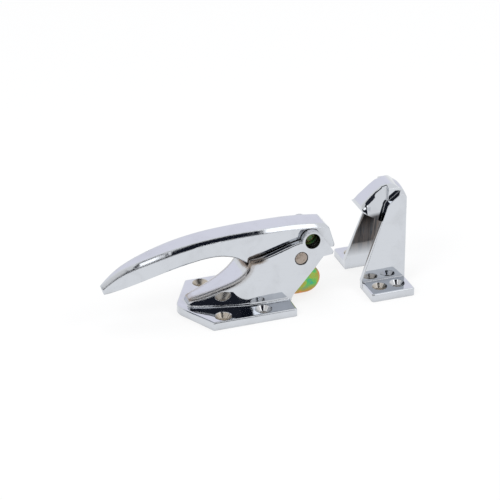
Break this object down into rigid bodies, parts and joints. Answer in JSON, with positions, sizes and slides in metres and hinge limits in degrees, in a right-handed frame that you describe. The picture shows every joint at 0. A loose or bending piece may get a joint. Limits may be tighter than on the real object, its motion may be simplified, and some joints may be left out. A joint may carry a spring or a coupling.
{
  "type": "refrigerator door latch with strike",
  "caption": "Surface-mounted lever latch with a sprung, swinging bolt and a two-legged strike with a hooked nose, for the door of a walk-in refrigerator.",
  "frame": {"origin": "centre of the latch's four mounting screws, on the flange's back face that lies on the door", "axes": "+X from the handle's grip towards the strike, +Y along the pivot pin away from the camera's side, +Z away from the door"},
  "size_m": [0.263, 0.0889, 0.0893],
  "materials": {
    "housing_chrome": "polished chrome plate on a zinc die casting",
    "handle_chrome": "polished chrome plate on a zinc die casting",
    "strike_chrome": "polished chrome plate on a zinc die casting, duller inside",
    "bolt_chromate": "zinc plate with yellow-green iridescent chromate",
    "pin_steel": "satin riveted steel",
    "sleeve_steel": "ground steel",
    "drive_pin_steel": "ground steel",
    "washer_steel": "stamped zinc-plated steel",
    "buffer_rubber": "matt black moulded rubber",
    "spring_steel": "oiled spring wire"
  },
  "bodies": {
    "base": {"latch_housing": "housing_chrome", "strike": "strike_chrome", "pivot_pin": "pin_steel", "near_washer": "washer_steel", "far_washer": "washer_steel", "handle_buffer": "buffer_rubber", "handle_spring": "spring_steel"},
    "lever": {"handle": "handle_chrome", "pivot_sleeve": "sleeve_steel", "drive_pin": "drive_pin_steel", "bolt_spring": "spring_steel"},
    "bolt": {"latch_bolt": "bolt_chromate"}
  },
  "joints": [
    {"name": "handle_lift", "type": "hinge", "parent": "base", "child": "lever", "pos_m": [0.0548, 0, 0.0415], "axis": [0, 1, 0], "range_deg": [0, 40], "stiffness_Nm_per_rad": 0.17, "springref_deg": -28.65, "deforming": ["handle_spring"]},
    {"name": "bolt_swing", "type": "hinge", "parent": "lever", "child": "bolt", "pos_m": [0.0548, 0, 0.0415], "axis": [0, 1, 0], "range_deg": [0, 25], "stiffness_Nm_per_rad": 0.15, "springref_deg": -28.65, "deforming": ["bolt_spring"]}
  ]
}
